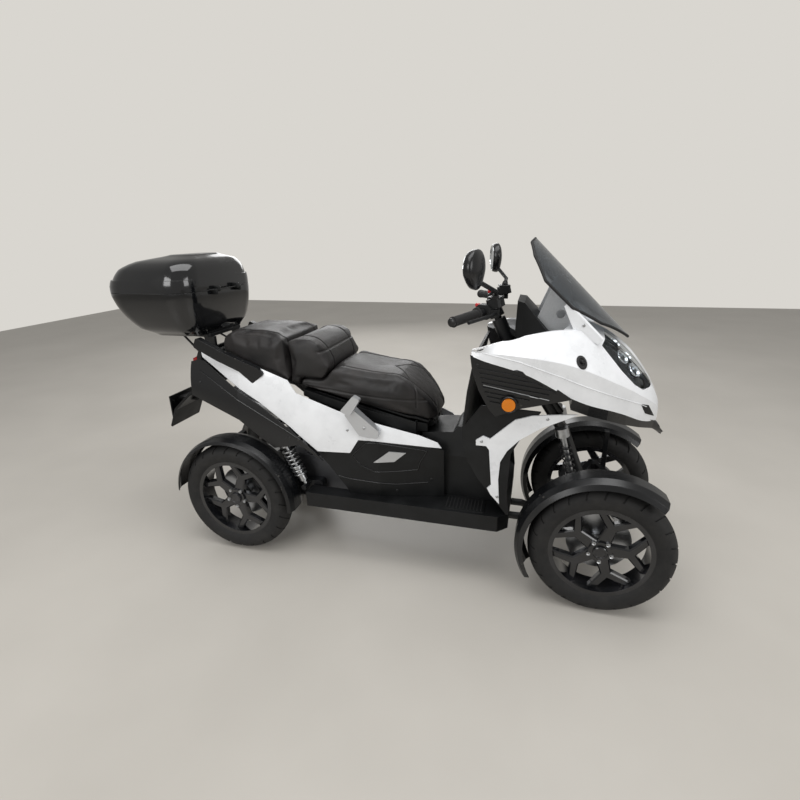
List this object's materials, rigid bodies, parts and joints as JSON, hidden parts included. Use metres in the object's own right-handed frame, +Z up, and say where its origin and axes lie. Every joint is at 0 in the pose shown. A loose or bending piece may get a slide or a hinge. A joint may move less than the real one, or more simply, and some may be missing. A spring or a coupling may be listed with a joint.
{
  "type": "tilting motor scooter",
  "caption": "Four-wheeled tilting motor scooter with white panels, stepped seat, smoked screen and a top box; steers, rolls, and its seat and box lid open.",
  "frame": {"origin": "ground point under the middle of the bounding box", "axes": "+X forward, +Y to the rider's left, +Z up"},
  "size_m": [2.3954, 0.8694, 1.386],
  "materials": {
    "tyre": "matt",
    "wheel_black": "gloss",
    "disc_steel": "satin",
    "white_gloss": "gloss",
    "clear_lens": "clear",
    "smoked_screen": "smoked",
    "pale_plastic": "satin",
    "amber_lens": "gloss",
    "red_lens": "gloss",
    "silver_paint": "satin",
    "black_steel": "satin",
    "cast_alloy": "satin",
    "silver_steel": "satin",
    "silencer_steel": "satin",
    "seat_vinyl": "grained",
    "grip_rubber": "matt",
    "box_gloss": "gloss",
    "black_plastic": "satin"
  },
  "bodies": {
    "chassis": {"belly_pan": "black_plastic", "box_base": "box_gloss", "centre_tunnel": "black_plastic", "dashboard": "black_plastic", "engine": "cast_alloy", "exhaust": "silencer_steel", "flanks": "white_gloss", "floorboard": "black_plastic", "foot_pegs": "silver_paint", "frame": "black_steel", "front_arms": "black_steel", "front_fairing": "white_gloss", "front_indicators": "amber_lens", "front_struts": "silver_steel", "grab_handles": "black_plastic", "headlight_lenses": "clear_lens", "leg_shield": "black_plastic", "leg_trims": "white_gloss", "lower_panels": "black_plastic", "rack": "black_steel", "rear_fenders": "black_plastic", "rear_guards": "black_plastic", "rear_mudguard": "black_plastic", "rear_shocks": "silver_steel", "screen_bracket": "pale_plastic", "screen_pillars": "white_gloss", "seat_bay": "black_plastic", "side_grilles": "black_plastic", "swingarms": "black_steel", "tail_lamps": "red_lens", "tail_panel": "black_plastic", "trim_plates": "silver_paint", "windscreen": "smoked_screen"},
    "handlebars": {"handlebar": "black_steel", "grips": "grip_rubber", "controls": "black_plastic", "mirrors": "black_plastic"},
    "seat": {"seat_pan": "black_plastic", "seat_rider": "seat_vinyl", "seat_rear": "seat_vinyl"},
    "lid": {"box_lid": "box_gloss"},
    "steer_left": {"knuckle_left": "cast_alloy", "front_fender_left": "black_plastic"},
    "wheel_front_left": {"rim_front_left": "wheel_black", "tyre_front_left": "tyre", "disc_front_left": "disc_steel"},
    "wheel_rear_left": {"rim_rear_left": "wheel_black", "tyre_rear_left": "tyre", "disc_rear_left": "disc_steel"},
    "steer_right": {"knuckle_right": "cast_alloy", "front_fender_right": "black_plastic"},
    "wheel_front_right": {"rim_front_right": "wheel_black", "tyre_front_right": "tyre", "disc_front_right": "disc_steel"},
    "wheel_rear_right": {"rim_rear_right": "wheel_black", "tyre_rear_right": "tyre", "disc_rear_right": "disc_steel"}
  },
  "joints": [
    {"name": "kingpin_left", "type": "hinge", "parent": "chassis", "child": "steer_left", "pos_m": [0.93225, 0.185, 0.2655], "axis": [0, 0, 1], "range_deg": [-27, 27]},
    {"name": "spin_front_left", "type": "hinge", "parent": "steer_left", "child": "wheel_front_left", "pos_m": [0.93225, 0.275, 0.2655], "axis": [0, 1, 0], "continuous": true},
    {"name": "spin_rear_left", "type": "hinge", "parent": "chassis", "child": "wheel_rear_left", "pos_m": [-0.64775, 0.255, 0.2655], "axis": [0, 1, 0], "continuous": true},
    {"name": "kingpin_right", "type": "hinge", "parent": "chassis", "child": "steer_right", "pos_m": [0.93225, -0.185, 0.2655], "axis": [0, 0, 1], "range_deg": [-27, 27]},
    {"name": "spin_front_right", "type": "hinge", "parent": "steer_right", "child": "wheel_front_right", "pos_m": [0.93225, -0.275, 0.2655], "axis": [0, 1, 0], "continuous": true},
    {"name": "spin_rear_right", "type": "hinge", "parent": "chassis", "child": "wheel_rear_right", "pos_m": [-0.64775, -0.255, 0.2655], "axis": [0, 1, 0], "continuous": true},
    {"name": "steering", "type": "hinge", "parent": "chassis", "child": "handlebars", "pos_m": [0.48025, 0, 1.112], "axis": [-0.4226, 0, 0.9063], "range_deg": [-28, 28]},
    {"name": "seat_hinge", "type": "hinge", "parent": "chassis", "child": "seat", "pos_m": [0.24225, 0, 0.638], "axis": [0, 1, 0], "range_deg": [0, 60]},
    {"name": "lid_hinge", "type": "hinge", "parent": "chassis", "child": "lid", "pos_m": [-0.74175, 0, 1.191], "axis": [0, 1, 0], "range_deg": [0, 75]}
  ],
  "couplings": [
    {"joint": "kingpin_left", "follows": "steering", "ratio": 0.9},
    {"joint": "kingpin_right", "follows": "steering", "ratio": 0.9}
  ]
}
